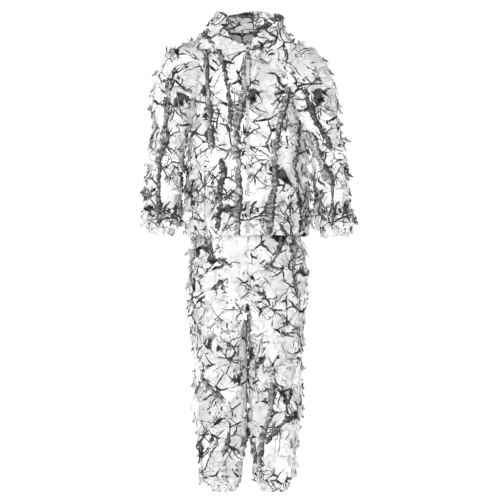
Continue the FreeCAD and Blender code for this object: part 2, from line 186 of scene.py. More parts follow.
def print_values(pq, strokes):
    """For each point: how far inside the nearest stroke, signed distance from its line, width, tone."""
    flat = pq.reshape(-1, 2)
    best = np.full(len(flat), -0.05)
    off, wide, tone = np.zeros(len(flat)), np.full(len(flat), 0.005), np.full(len(flat), 0.5)
    for pts, half, light, side in strokes:
        reach = half + 0.022
        near = np.flatnonzero(((flat > pts.min(0) - reach) & (flat < pts.max(0) + reach)).all(1))
        if not len(near):
            continue
        v = flat[near]
        a, d = pts[:-1], np.diff(pts, axis=0)
        t = np.clip(((v[:, None] - a) * d).sum(2) / np.maximum((d * d).sum(1), 1e-9), 0, 1)
        gap = v[:, None] - (a + t[..., None] * d)
        far = np.linalg.norm(gap, axis=2)
        k, rows = far.argmin(1), np.arange(len(near))
        cross = d[k, 0] * gap[rows, k, 1] - d[k, 1] * gap[rows, k, 0]
        run = (k + t[rows, k]) / len(a)
        width = half * (1 - 0.7 * run if half < 0.0055 else 0.85 + 0.15 * np.sin(run * 9))
        inside = width - far[rows, k]
        closer = inside > best[near]
        hit = near[closer]
        best[hit] = inside[closer]
        off[hit] = (far[rows, k] * np.where(cross > 0, 1, -1) * side)[closer]
        wide[hit], tone[hit] = np.broadcast_to(width, len(near))[closer], light
    return np.stack([best, off, wide, tone], -1).reshape(pq.shape[:-1] + (4,))


# ------------------------------------------------------------------ materials


def shader(name):
    m = bpy.data.materials.new(name)
    m.use_nodes = True
    tree = m.node_tree
    bsdf = tree.nodes["Principled BSDF"]

    def node(kind, inputs=(), **settings):
        made = tree.nodes.new(kind)
        for key, value in settings.items():
            setattr(made, key, value)
        for key, value in dict(inputs).items():
            if isinstance(value, bpy.types.NodeSocket):
                tree.links.new(value, made.inputs[key])
            else:
                made.inputs[key].default_value = value
        return made

    def math_(op, a, b=0.0, c=0.0):
        return node("ShaderNodeMath", {0: a, 1: b, 2: c}, operation=op).outputs[0]

    def scale(value, low, high, to_low=0.0, to_high=1.0, kind="SMOOTHSTEP"):
        return node("ShaderNodeMapRange", {0: value, 1: low, 2: high, 3: to_low, 4: to_high},
                    interpolation_type=kind).outputs[0]

    def mix(fac, a, b):
        made = tree.nodes.new("ShaderNodeMix")
        made.data_type = "RGBA"
        for socket, value in ((0, fac), (6, a), (7, b)):
            if isinstance(value, bpy.types.NodeSocket):
                tree.links.new(value, made.inputs[socket])
            else:
                made.inputs[socket].default_value = value
        return made.outputs[2]

    def noise(vector, size, detail=3.0, rough=0.55):
        return node("ShaderNodeTexNoise", {"Vector": vector, "Scale": size, "Detail": detail,
                                          "Roughness": rough}).outputs[0]

    def link(a, b):
        tree.links.new(a, b)

    return m, bsdf, node, math_, scale, mix, noise, link


def grey(v, purple=0.02):
    return (v * (1 + purple * 0.4), v * (1 - purple), v * (1 + purple), 1)


def snow_print(name, cells, twigs, white=0.86, dense=0.0):
    """White cloth printed with pale leaf shapes, thin twigs and mottled birch trunks."""
    m, bsdf, node, math_, scale, mix, noise, link = shader(name)
    raw = node("ShaderNodeAttribute", attribute_name="cloth").outputs["Vector"]
    place = node("ShaderNodeVectorMath", {0: raw, 1: (1, 1, 0)}, operation="MULTIPLY").outputs[0]
    tone_in = node("ShaderNodeSeparateXYZ", {0: raw}).outputs[2]
    bark = node("ShaderNodeSeparateXYZ",
                {0: node("ShaderNodeAttribute", attribute_name="bark").outputs["Vector"]}).outputs

    def warped(vector, size, amount, shift):
        moved = node("ShaderNodeVectorMath", {0: vector, 1: (shift, shift * 2, 0)}).outputs[0]
        swirl = node("ShaderNodeTexNoise", {"Vector": moved, "Scale": size, "Detail": 2.0}).outputs["Color"]
        centred = node("ShaderNodeVectorMath", {0: swirl, 1: (0.5, 0.5, 0.5)},
                       operation="SUBTRACT").outputs[0]
        sized = node("ShaderNodeVectorMath", {0: centred, "Scale": amount}, operation="SCALE").outputs[0]
        return node("ShaderNodeVectorMath", {0: vector, 1: sized}).outputs[0]

    def stretched(vector, x, y, z=1.0):
        return node("ShaderNodeVectorMath", {0: vector, 1: (x, y, z)}, operation="MULTIPLY").outputs[0]

    def turned(vector, angle):
        return node("ShaderNodeVectorRotate", {"Vector": vector, "Angle": angle},
                    rotation_type="Z_AXIS").outputs[0]

    bent = warped(warped(place, 7.0, 0.05, 0.0), 38.0, 0.006, 3.0)
    fine = warped(bent, 130.0, 0.0016, 7.0)

    def lines(vector, size, width, shift):
        """Twigs of uneven width along the edges of cells; width in metres."""
        moved = node("ShaderNodeVectorMath", {0: vector, 1: (shift, shift, 0)}).outputs[0]
        edge = node("ShaderNodeTexVoronoi", {"Vector": moved, "Scale": size},
                    feature="DISTANCE_TO_EDGE").outputs["Distance"]
        swell = scale(noise(vector, 22.0, 1.0), 0.36, 0.62, 0.0, width * size)
        return scale(math_("DIVIDE", edge, math_("MAXIMUM", swell, 0.0004)), 0.6, 1.0, 1.0, 0.0), moved

    big, big_cell = lines(stretched(fine, 1.0, 0.75), cells, 0.0032, 0.0)
    slant, slant_cell = lines(stretched(turned(fine, 0.6), 1.0, 0.45), cells * 1.5, 0.0026, 3.1)
    other, other_cell = lines(stretched(turned(fine, -0.9), 1.0, 0.5), cells * 1.6, 0.0025, 5.7)
    small, _ = lines(fine, cells * 2.6, 0.0020, 8.3)
    patches = ((1, 1, 6, .42), (1.3, .8, 10, .47), (.8, 1.2, 9, .48), (1.1, .9, 13, .54))
    patch = [scale(noise(stretched(place, x, y), size, 1.0), low - dense, low - dense + 0.05)
             for x, y, size, low in patches]
    twig = math_("MAXIMUM",
                 math_("MAXIMUM", math_("MULTIPLY", big, patch[0]), math_("MULTIPLY", slant, patch[1])),
                 math_("MAXIMUM", math_("MULTIPLY", other, patch[2]), math_("MULTIPLY", small, patch[3])))
    twig = math_("MULTIPLY", twig, twigs)

    def cell_tone(vector, size, output):
        colour = node("ShaderNodeTexVoronoi", {"Vector": vector, "Scale": size}).outputs["Color"]
        return node("ShaderNodeSeparateColor", {0: colour}).outputs[output]

    leaf_a = scale(cell_tone(slant_cell, cells * 1.5, 0), 0.60, 0.66)
    leaf_b = scale(cell_tone(other_cell, cells * 1.6, 1), 0.66, 0.72)
    leaf_c = scale(cell_tone(big_cell, cells, 2), 0.62, 0.68)
    shade = math_("MAXIMUM", math_("MULTIPLY", leaf_a, 0.75),
                  math_("MAXIMUM", math_("MULTIPLY", leaf_b, 0.6), math_("MULTIPLY", leaf_c, 0.9)))
    shade = math_("MULTIPLY", shade, scale(noise(fine, 20.0, 4.0), 0.28, 0.62, 0.25, 1.0))
    ground = mix(shade, grey(white, 0.006), grey(white * 0.64, 0.010))
    veins = math_("MULTIPLY", scale(noise(stretched(fine, 1.0, 0.3), 130.0, 3.0), 0.60, 0.68), 0.35)
    ground = mix(veins, ground, grey(white * 0.42))
    smoke = math_("MULTIPLY", scale(noise(place, 16.0, 5.0, 0.65), 0.56, 0.70), 0.45)
    ground = mix(smoke, ground, grey(white * 0.45, 0.015))

    flecks = scale(noise(bent, 70.0, 1.0), 0.665, 0.69)
    flecks = math_("MULTIPLY", flecks, scale(noise(place, 12.0, 1.0), 0.46, 0.52))
    dark = mix(scale(noise(place, 36.0, 2.0), 0.38, 0.62), grey(0.012), grey(0.085))
    ground = mix(math_("MAXIMUM", twig, flecks), ground, dark)

    width = math_("MAXIMUM", bark[2], 0.0005)
    stout = math_("MINIMUM", math_("DIVIDE", width, 0.010), 1.0)
    ragged = math_("MULTIPLY", math_("SUBTRACT", noise(place, 80.0, 3.0), 0.5), 0.016)
    ragged = math_("ADD", ragged, math_("MULTIPLY", math_("SUBTRACT", noise(place, 24.0, 1.0), 0.5), 0.014))
    inside = math_("MULTIPLY_ADD", ragged, math_("MULTIPLY_ADD", stout, 0.85, 0.15),
                   math_("SUBTRACT", width, math_("ABSOLUTE", bark[1])))
    on_bark = math_("MULTIPLY", scale(inside, 0.0, 0.0010), scale(bark[0], -0.012, -0.009))
    lateral = math_("DIVIDE", bark[1], width)
    flakes = scale(noise(stretched(place, 0.7, 1.2), 85.0, 4.0, 0.75), 0.43, 0.57)
    plates = scale(noise(stretched(place, 1.2, 0.6), 30.0, 2.0), 0.42, 0.58)
    pale = math_("MULTIPLY", math_("MULTIPLY_ADD", plates, 0.5, 0.5), flakes)
    pale = math_("MULTIPLY", pale, math_("MULTIPLY_ADD", tone_in, 0.75, 0.25))
    skin = mix(pale, mix(tone_in, grey(0.030, 0.03), grey(0.15, 0.04)), grey(0.74, 0.02))
    wobble = math_("MULTIPLY", math_("SUBTRACT", noise(place, 50.0, 3.0), 0.5), 1.6)
    edge = scale(math_("ADD", lateral, wobble), 0.10, 0.55)
    skin = mix(math_("MULTIPLY", edge, 0.9), skin, grey(0.030, 0.03))
    colour = mix(on_bark, ground, skin)
    link(colour, bsdf.inputs["Base Color"])
    bsdf.inputs["Roughness"].default_value = 0.88
    bsdf.inputs["Specular IOR Level"].default_value = 0.05
    bsdf.inputs["Sheen Weight"].default_value = 0.015
    bsdf.inputs["Sheen Roughness"].default_value = 0.5
    weave_x = node("ShaderNodeTexWave", {"Vector": place, "Scale": 260.0, "Distortion": 1.5}).outputs[1]
    weave_y = node("ShaderNodeTexWave", {"Vector": place, "Scale": 260.0, "Distortion": 1.5},
                   bands_direction="Y").outputs[1]
    height = math_("ADD", math_("MULTIPLY", math_("ADD", weave_x, weave_y), 0.10), noise(place, 45.0, 4.0))
    bump = node("ShaderNodeBump", {"Height": height, "Strength": 0.35, "Distance": 0.0025})
    link(bump.outputs[0], bsdf.inputs["Normal"])
    return m


def plain(name, value, rough, metal=0.0, ribs=0.0, direction="Z", purple=0.01):
    """Elastic, webbing, tape, plastic or metal: ribs or grain, uneven tone and worn patches."""
    m, bsdf, node, math_, scale, mix, noise, link = shader(name)
    place = node("ShaderNodeTexCoord").outputs["Object"]
    worn = scale(noise(place, 180.0 if metal else 60.0, 4.0), 0.35, 0.7)
    low = value * (0.62 if metal else 0.86)
    colour = mix(worn, grey(low, purple), grey(min(value * 1.12, 0.88), purple))
    height = noise(place, 900.0, 2.0)
    if ribs:
        rib = node("ShaderNodeTexWave", {"Vector": place, "Scale": ribs, "Distortion": 0.4},
                   bands_direction=direction).outputs[1]
        colour = mix(math_("MULTIPLY", rib, 0.25), colour, grey(value * 0.6, purple))
        height = math_("ADD", height, rib)
    link(colour, bsdf.inputs["Base Color"])
    link(scale(worn, 0.0, 1.0, rough, min(rough + 0.2, 1.0)), bsdf.inputs["Roughness"])
    bsdf.inputs["Metallic"].default_value = metal
    bump = node("ShaderNodeBump", {"Height": height, "Strength": 0.3, "Distance": 0.0004})
    link(bump.outputs[0], bsdf.inputs["Normal"])
    return m


JACKET = snow_print("snow_print_jacket", 13.0, 1.0, dense=0.035)
TROUSER = snow_print("snow_print_trousers", 11.0, 1.0, 0.88, dense=0.015)
ELASTIC = plain("white_elastic", 0.72, 0.85, ribs=170.0)
WEBBING = plain("white_webbing", 0.78, 0.85, ribs=240.0, direction="X")
TAPE = plain("zip_tape_weave", 0.80, 0.9, ribs=300.0)
TEETH = plain("zip_nylon", 0.78, 0.45)
METAL = plain("zip_black_metal", 0.045, 0.35, metal=0.6)

# ------------------------------------------------------------------ building objects


def mesh_object(name, verts, faces, material, smooth=True):
    mesh = bpy.data.meshes.new(name)
    mesh.from_pydata([tuple(v) for v in verts], [], faces)
    mesh.materials.append(material)
    mesh.polygons.foreach_set("use_smooth", [smooth] * len(mesh.polygons))
    obj = bpy.data.objects.new(name, mesh)
    bpy.context.scene.collection.objects.link(obj)
    return obj


def stamp(obj, pq, values):
    """Store each point's place on the cloth and its trunk values."""
    for name, data in (("cloth", np.column_stack([pq, values[:, 3]])), ("bark", values[:, :3])):
        attribute = obj.data.attributes.new(name, "FLOAT_VECTOR", "POINT")
        attribute.data.foreach_set("vector", np.ascontiguousarray(data, np.float32).ravel())


def shell(name, grid, material, trees, thick=0.0013, skip=None):
    """A double-sided cloth shell from a grid, closed round its edges."""
    nv, nu = grid.P.shape[:2]
    outer = grid.P.reshape(-1, 3)
    inner = outer - grid.N.reshape(-1, 3) * thick
    count = nv * nu
    quads = []
    for i in range(nv - 1):
        for j in range(nu if grid.wrap else nu - 1):
            if skip is not None and skip(i, j):
                continue
            k = (j + 1) % nu
            quads.append((i * nu + j, (i + 1) * nu + j, (i + 1) * nu + k, i * nu + k))
    edges = {}
    for quad in quads:
        for a, b in zip(quad, quad[1:] + quad[:1]):
            edges[(a, b)] = edges.get((b, a)) is None
            if (b, a) in edges:
                edges[(b, a)] = edges[(a, b)] = False
    faces = list(quads) + [tuple(v + count for v in reversed(q)) for q in quads]
    faces += [(b, a, a + count, b + count) for (a, b), open_ in edges.items() if open_]
    obj = mesh_object(name, np.vstack([outer, inner]), faces, material)
    pq = grid.pq.reshape(-1, 2)
    stamp(obj, np.vstack([pq, pq]), np.vstack([print_values(pq, trees)] * 2))
    return obj


CENTRE = [(0, 0), (.13, 0), (.32, 0), (.55, 0), (.78, 0), (1, 0)]
SIDE = [(.12, .13), (-.02, .36), (.30, .25), (.44, .52), (.57, .22), (.79, .15)]
LEAF = np.array(CENTRE + SIDE + [(x, -y) for x, y in SIDE]) * (1, .92)
SIDE_FACES = [(0, 1, 6), (6, 1, 2, 8), (6, 8, 7), (8, 2, 3, 10), (8, 10, 9), (10, 3, 4, 11), (11, 4, 5)]
LEAF_FACES = SIDE_FACES + [tuple(v + 6 if v > 5 else v for v in reversed(f)) for f in SIDE_FACES]


def leaves(name, grid, material, trees, seed, spacing=0.029, lift=1.0, size=1.0, calm=None):
    """Cut-leaf flaps sewn to a shell by their stalks, each carrying on the print beneath it."""
    r = np.random.RandomState(seed)
    P, N, pq = grid.P, grid.N, grid.pq
    nv, nu = P.shape[:2]
    down = np.linalg.norm(np.diff(P, axis=0), axis=2).mean(1)
    reach = np.concatenate([[0], np.cumsum(down)])
    roots, q = [], 0.010
    while q < reach[-1] - 0.006:
        i = float(np.interp(q + r.uniform(-.005, .005), reach, np.arange(nv)))
        i = min(max(i, 0), nv - 1.001)
        row = P[int(i)]
        hop = np.linalg.norm(np.diff(row, axis=0), axis=1)
        along = np.concatenate([[0], np.cumsum(hop)])
        total, s = along[-1], r.uniform(0, spacing)
        while s < total:
            roots.append((i, float(np.interp(s, along, np.arange(nu)))))
            s += spacing * r.uniform(0.7, 1.3)
        q += spacing * 0.92
    if not roots:
        return None
    roots = np.array(roots)
    i0, j0 = roots[:, 0].astype(int), np.minimum(roots[:, 1].astype(int), nu - 2)
    fi, fj = (roots[:, 0] - i0)[:, None], (roots[:, 1] - j0)[:, None]

    def at(field):
        return ((1 - fi) * (1 - fj) * field[i0, j0] + fi * (1 - fj) * field[i0 + 1, j0]
                + (1 - fi) * fj * field[i0, j0 + 1] + fi * fj * field[i0 + 1, j0 + 1])

    base, n, cloth = at(P), at(N), at(pq)
    n = n / np.linalg.norm(n, axis=1, keepdims=True)
    low = at(np.gradient(P, axis=0))
    low -= (low * n).sum(1, keepdims=True) * n
    low /= np.linalg.norm(low, axis=1, keepdims=True)
    right = np.cross(low, n)
    count = len(base)
    sign = np.sign((at(np.gradient(P, axis=1)) * right).sum(1))
    sign = sign * np.sign(at(np.gradient(pq[..., :1], axis=1))[:, 0])
    sign = np.where(sign == 0, 1, sign)
    turn = r.normal(0, 0.85, count)
    length = r.uniform(0.030, 0.043, count) * size
    rise = r.uniform(0.06, 0.42, count) * lift
    if calm is not None:
        rise = rise * calm(base)
    curl = r.uniform(-0.10, 0.22, count)
    roll = r.normal(0, 0.16, count)
    lx = LEAF[None, :, 0] * length[:, None]
    ly = LEAF[None, :, 1] * length[:, None]
    a = lx * np.cos(turn)[:, None] - ly * np.sin(turn)[:, None]
    b = lx * np.sin(turn)[:, None] + ly * np.cos(turn)[:, None]
    h = 0.0014 + length[:, None] * (rise[:, None] * LEAF[None, :, 0] ** 1.4
                                    + curl[:, None] * LEAF[None, :, 1] ** 2 * 1.2
                                    + roll[:, None] * LEAF[None, :, 1] * LEAF[None, :, 0] * lift)
    h = np.maximum(h, 0.0009)
    pts = base[:, None] + a[..., None] * low[:, None] + b[..., None] * right[:, None]
    pts = pts + h[..., None] * n[:, None]
    flat = np.stack([cloth[:, :1] + b * sign[:, None], cloth[:, 1:2] - a], -1)
    flat += r.normal(0, 0.0012, (count, 1, 2))
    faces = []
    for k in range(count):
        faces += [tuple(v + k * len(LEAF) for v in f) for f in LEAF_FACES]
    obj = mesh_object(name, pts.reshape(-1, 3), faces, material, smooth=False)
    flat = flat.reshape(-1, 2)
    stamp(obj, flat, print_values(flat, trees))
    return obj


def blend_or_ride(obj, how):
    if isinstance(how, str):
        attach(obj, how)
    else:
        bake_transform(obj)
    return obj


def dress(stem, grid, material, trees, how, cloth_nodes, leaf_nodes, slots, seed, **leaf_args):
    """A shell and its leaves, both attached to the same body or both baked where they stand."""
    skip = leaf_args.pop("skip", None)
    base = shell(stem + "_cloth", grid, material, trees, skip=skip)
    blend_or_ride(base, how)
    if cloth_nodes:
        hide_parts(*cloth_nodes)
    made = [base]
    if leaf_nodes is not None:
        flaps = leaves(stem + "_leaves", grid, material, trees, seed, **leaf_args)
        blend_or_ride(flaps, how)
        if leaf_nodes:
            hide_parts(*leaf_nodes)
        made.append(flaps)
    return made


SLOTS = ("base_cloth", "leaf_cloth")

# ------------------------------------------------------------------ jacket body


def lean_left(z):
    """The shoulders and neck lie a little towards the wearer's right."""
    return -0.014 * ease(z, 0.15, 0.50) + 0.016 * ease(z, 0.56, 0.64)


def lean_beside_zip(P):
    """The same lean, fading out where the front edges meet the straight zip."""
    near = np.exp(-(P[..., 0] / 0.045) ** 2) * (P[..., 1] < 0)
    return lean_left(P[..., 2]) * (1 - near)


def torso_grid():
    z = np.concatenate([np.linspace(.527, -.085, 104), np.linspace(-.089, -.118, 8)])
    nu = 193
    _, cy, rx, ry = ring(TORSO, z)
    edge = np.arcsin(.0055 / rx)
    s = np.linspace(0, 1, nu)
    a = edge[:, None] + s[None] * (TAU - 2 * edge[:, None])
    grow = .0045
    x = (rx[:, None] + grow) * np.sin(a)
    y = cy[:, None] - (ry[:, None] + grow) * np.cos(a)
    P = np.stack([x, y, np.broadcast_to(z[:, None], x.shape)], -1)
    turn = np.where(a > math.pi, a - TAU, a)
    pq = np.stack([0.168 * turn, P[..., 2]], -1)
    g = Grid(P, pq, False)
    calm = 1 - 0.85 * np.exp(-(x / 0.02) ** 2) * (y < 0)
    soft = 0.0048 * waves(P, 3, 0.16, (1.5, 1.2, 0.45), 6, 0.35)
    soft = soft + 0.0022 * waves(P, 4, 0.07, (1, 1, .8), 6, 0.5)
    gather = ease(-z, 0.02, 0.10)[:, None]
    pleat = 0.0042 * gather * np.sin(37 * a + 2.2 * np.sin(5 * a) + 1.6 * np.sin(11 * a + z[:, None] * 22))
    sag = 0.004 * np.exp(-((z[:, None] + 0.055) / 0.045) ** 2) * (1 + 0.6 * np.sin(9 * a + 1.0))
    g.push((soft + pleat * 0.9 + sag) * calm)
    g.P[..., 0] += lean_beside_zip(P)
    g.P[-14:, :, 2] += 0.004 * np.sin(3 * a[-14:] + 0.7) * calm[-14:]
    g.N = normals(g.P, False)
    return g


torso = torso_grid()
# Trunks and branches on the front: points (across, height) in metres to the nearest 5 mm, half width,
# tone and shaded side. The lists for the collar, hood, arms and legs below have the same form.
TORSO_FRONT = [
    ([(-.15, .575), (-.145, .51), (-.135, .41), (-.13, .32), (-.125, .25), (-.12, .18)], .0125, .45, 1),
    ([(-.1, .53), (-.08, .45), (-.07, .4), (-.06, .32), (-.06, .26)], .0085, .15, 1),
    ([(0, .49), (-.005, .385), (-.025, .315), (-.035, .25), (-.04, .17), (-.03, .115), (-.03, .03),
      (-.035, -.11)], .012, .6, 1),
    ([(.14, .42), (.13, .34), (.11, .275), (.095, .2), (.09, .115), (.09, .06), (.08, 0),
      (.07, -.105)], .0115, .55, 1),
    # Painted shadow: this darkest stroke down the torso's side is both a printed trunk and the shade where
    # the sleeve meets the torso.
    ([(.18, .33), (.17, .2), (.16, .115), (.165, .06), (.175, -.03), (.175, -.1)], .0095, .0, 1),
    ([(-.145, .075), (-.145, -.035), (-.14, -.11)], .005, .1, 1),
    ([(-.09, .13), (-.08, .085), (-.095, .035), (-.09, -.025), (-.1, -.09)], .0095, .1, 1),
    ([(-.045, .2), (-.075, .14), (-.12, .11), (-.15, .105)], .0054, .15, 1),
    ([(.13, .555), (.165, .46), (.175, .4)], .007, .15, 1),
    ([(-.05, .29), (-.01, .315), (.03, .32)], .0052, .9, -1),
    ([(-.12, .33), (-.085, .275), (-.06, .215)], .0035, .1, 1),
    ([(.02, .265), (.08, .315), (.095, .33)], .0035, .1, 1),
    ([(.045, .15), (-.01, .15), (-.02, .215)], .0028, .1, 1),
    ([(-.005, .48), (.055, .46), (.08, .475)], .0035, .1, 1),
    ([(.17, .405), (.145, .425), (.085, .425)], .0045, .15, 1),
    ([(-.205, .29), (-.17, .325)], .0032, .1, 1),
    ([(-.055, .49), (-.01, .5), (.015, .505)], .004, .05, 1),
    ([(-.19, .37), (-.2, .28), (-.18, .2), (-.17, .115)], .003, .2, 1),
    ([(.015, .505), (.03, .51), (.025, .5)], .0045, .05, 1),
    ([(-.235, .4), (-.18, .425), (-.15, .47)], .0035, .1, 1),
    ([(.08, .2), (.03, .23), (0, .26)], .003, .1, 1),
    ([(-.03, .05), (.02, .02), (.05, .05)], .003, .1, 1),
    ([(.09, .1), (.12, .13), (.15, .12)], .004, .1, 1),
    ([(-.035, -.02), (-.07, -.04), (-.1, -.03), (-.13, -.06)], .0048, .1, 1),
    ([(.07, -.05), (.03, -.085), (-.01, -.07)], .0035, .1, 1),
    ([(.1, -.02), (.13, -.06), (.16, -.07)], .0045, .1, 1),
    ([(.16, .47), (.2, .43), (.17, .42), (.21, .4)], .005, .0, 1),
    ([(-.17, .53), (-.12, .5), (-.06, .535)], .005, .2, 1),
    ([(-.16, .02), (-.12, 0), (-.1, -.03)], .004, .1, 1),
    ([(.115, .245), (.15, .26), (.19, .25)], .004, .2, 1),
]
TORSO_TREES = ([on_front(torso, *row) for row in TORSO_FRONT]
               + wood(5, -.10, .52, (.30, .80)) + wood(6, -.12, .50, (-.80, -.30)))
COLS = {"front_left": (0, 50), "back": (50, 142), "front_right": (142, 192)}
HEM_ROW = 103
for part, cols in COLS.items():
    nodes = ["back_panel"] if part == "back" else [part.replace("front", "front_panel")]
    leaf_nodes = ["back_leaves"] if part == "back" else [part.replace("front", "front_leaves")]
    dress("jacket_" + part, torso.part((0, HEM_ROW), cols), JACKET, TORSO_TREES, "jacket", nodes,
          leaf_nodes, SLOTS, 50 + cols[0], lift=0.9)
dress("jacket_hem", torso.part((HEM_ROW, len(torso.P) - 1), (0, 192)), JACKET, TORSO_TREES, "jacket",
      ["hem_casing"], [], SLOTS, 77, lift=0.5, size=0.7)

# ------------------------------------------------------------------ collar and hood


def collar_grid():
    nv, nu = 34, 150
    t = np.linspace(1, 0, nv)[:, None]
    s = np.linspace(0, 1, nu)[None]
    left_edge = curve([0, .5, .7, .85, 1], [.085, .12, .20, .48, .80], t)
    right_edge = 0.085 + 0.56 * t ** 0.9
    a = left_edge + s * (TAU - left_edge - right_edge)
    turn = np.where(a > math.pi, a - TAU, a)
    side = np.abs(turn)
    top = 0.604 + 0.036 * np.exp(-((side - 1.0) / 0.55) ** 2) + 0.004 * np.sin(5 * a)
    z = 0.512 + (top - 0.512) * t
    rx = curve([0, .2, .45, .75, 1], [.184, .176, .154, .127, .112], t) + 0.004 * np.sin(7 * a + 3 * t)
    ry = curve([0, .35, .7, 1], [.101, .091, .083, .077], t)
    cy = curve([0, 1], [.004, -.004], t)
    lip = 0.010 * ease(t, 0.86, 1.0)
    x = (rx + lip) * np.sin(a)
    y = cy - (ry + lip) * np.cos(a)
    z = z - 0.004 * ease(t, 0.95, 1.0)
    P = np.stack(np.broadcast_arrays(x, y, z), -1)
    g = Grid(P, np.stack([0.150 * turn, P[..., 2]], -1), False)
    g.push(0.0045 * waves(P, 9, 0.09, (1, 1, 1.6), 6, 0.5))
    g.P[..., 0] += lean_beside_zip(g.P)
    g.N = normals(g.P, False)
    return g


collar = collar_grid()
COLLAR_TREES = [on_front(collar, *row) for row in [
    # Painted shade: the darkest strokes, down the right front from the collar's top and at its top left, are
    # both printed trunks and the shade in the collar's folds.
    ([(.12, .63), (.065, .595), (.02, .56)], .0135, .0, 1),
    ([(.085, .64), (.12, .6)], .006, .0, 1),
    ([(-.08, .64), (-.06, .61), (-.045, .585)], .008, .0, 1),
    ([(-.1, .56), (-.06, .545), (-.02, .54)], .0055, .3, 1),
    ([(-.155, .58), (-.13, .55), (-.12, .525)], .0085, .1, 1),
    ([(-.06, .6), (-.03, .565), (-.015, .545)], .003, .0, 1),
    ([(.06, .57), (.09, .56), (.11, .54)], .005, .1, 1),
    ([(.1, .6), (.08, .57), (.1, .55)], .0035, .0, 1),
    ([(-.13, .6), (-.1, .62), (-.08, .6)], .003, .1, 1),
]] + wood(15, .50, .66, (.24, .38), .06, .8) + wood(16, .50, .66, (-.38, -.26), .06, .8)
dress("collar_left", collar.part(None, (0, 75)), JACKET, COLLAR_TREES, "jacket", ["collar_left"],
      None, SLOTS, 61)
dress("collar_right", collar.part(None, (75, 149)), JACKET, COLLAR_TREES, "jacket", ["collar_right"],
      None, SLOTS, 62)
flaps = leaves("collar_leaves_flaps", collar.part((5, 33)), JACKET, COLLAR_TREES, 63, lift=0.22, size=0.8)
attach(flaps, "jacket")
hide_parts("collar_leaves")

HOOD = [(0, .652, .102, .143, .037), (.10, .630, .114, .145, .041), (.30, .570, .128, .151, .043),
        (.55, .495, .123, .159, .038), (.78, .432, .104, .164, .032), (.92, .398, .078, .166, .024),
        (.98, .388, .050, .166, .014), (1.0, .385, .012, .166, .004)]


def hood_grid():
    nv, nu = 60, 120
    t = np.linspace(0, 1, nv)[:, None]
    a = np.linspace(0, TAU, nu, endpoint=False)[None]
    cols = np.array(HOOD).T
    z0, rx, cy, ry = (curve(cols[0], cols[i], t) for i in range(1, 5))
    back = (1 - np.cos(a)) / 2
    z = z0 - 0.020 * back * (1 - t) + 0.006 * np.sin(3 * a + 0.5) * (1 - t)
    x = rx * np.sign(np.sin(a)) * np.abs(np.sin(a)) ** 0.92
    y = cy - ry * np.cos(a)
    P = np.stack(np.broadcast_arrays(x, y, z), -1)
    turn = np.where(a > math.pi, a - TAU, a)
    g = Grid(P, np.stack(np.broadcast_arrays(0.12 * (turn + 0 * t), z), -1), True)
    fold = 0.006 * waves(P, 13, 0.10, (0.8, 1, 1.5), 6, 0.55) + 0.002 * waves(P, 14, 0.04, (1, 1, 1), 5)
    front = ease(np.cos(a), 0.2, 0.9)
    g.push(fold * (1 - 0.8 * front) * ease(t, 0, 0.08) * (1 - ease(t, .9, 1)))
    return g


hood = hood_grid()
HOOD_TREES = [on_front(hood, *row) for row in [
    # Painted shade: the dark band along the hood's top is both a printed trunk and the shade at the fold
    # there.
    ([(-.09, .64), (-.04, .64), (.005, .64)], .0105, .1, 1),
    ([(-.07, .63), (-.04, .61), (-.035, .595)], .005, .0, 1),
    ([(.005, .64), (-.045, .62)], .004, .0, 1),
    ([(.01, .63), (.04, .61), (.06, .6)], .0035, .0, 1),
    ([(.045, .65), (.055, .62)], .003, .1, 1)]] + wood(26, .36, .66, (.20, .60), .07) + wood(
        27, .36, .66, (-.60, -.20), .07)
for label, cols in (("left", (0, 60)), ("right", None)):
    if cols is None:
        second = hood.part()
        second.P, second.N, second.pq = (np.concatenate([v[:, 60:], v[:, :1]], 1)
                                         for v in (hood.P, hood.N, hood.pq))
        second.pq[:, -1, 0] = 0
        second.pq[:, 0, 0] = -0.12 * math.pi
        second.wrap = False
        half = second
    else:
        half = hood.part(None, cols)
        half.pq = half.pq.copy()
    dress("hood_" + label, half, JACKET, HOOD_TREES, "hood", ["hood_panel_" + label], None, SLOTS, 64)
rear = hood.part((2, 55), (34, 86))
flaps = leaves("hood_leaves_flaps", rear, JACKET, HOOD_TREES, 65, lift=0.45)
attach(flaps, "hood")
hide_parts("hood_leaves")

# The cloth that joins the collar to the hood: a sewn strip over a soft roll.


def neck_roll():
    nv, nu = 61, 28
    u = np.linspace(-1, 1, nv)[:, None]
    a = np.linspace(0, TAU, nu, endpoint=False)[None]
    full = np.sqrt(np.maximum(0, 1 - u ** 8)) * (0.82 + 0.18 * np.cos(u * 3.1))
    x = 0.108 * np.sin(u * 1.25) / math.sin(1.25) + 0 * a
    y = 0.091 - 0.046 * u ** 2 + (0.0165 * full + 0.0015) * np.cos(a)
    z = 0.570 + 0.012 * u ** 2 + (0.040 * full + 0.0015) * np.sin(a)
    P = np.stack([x, y, z], -1)[:, ::-1]
    g = Grid(P, np.stack(np.broadcast_arrays(0.9 + 0.03 * a, 0.5 + x), -1), True)
    return g.push(0.0022 * waves(P, 17, 0.05, (1, 1, 1), 6, 0.6) * full)


roll = shell("neck_roll", neck_roll(), JACKET, [])
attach(roll, "jacket")


def neck_strip():
    s = np.linspace(1, 0, 12)[:, None]
    u = np.linspace(-1, 1, 70)[None]
    x = (0.096 + 0.004 * s) * np.sin(u * 1.15)
    y = 0.0560 + 0.0490 * s - (0.022 - 0.004 * s) * (1 - np.cos(u * 1.15))
    z = 0.576 + 0.058 * s + 0.004 * np.sin(math.pi * s) + 0 * u
    P = np.stack([x, y, z], -1)[:, ::-1]
    g = Grid(P, np.stack(np.broadcast_arrays(0.10 * u[:, ::-1] + 0 * s, z), -1), False)
    return g.push(0.0015 * waves(P, 19, 0.04, (1, 1, 1), 5, 0.5))


strip = shell("neck_strip", neck_strip(), JACKET, HOOD_TREES)
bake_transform(strip)

# ------------------------------------------------------------------ sleeves


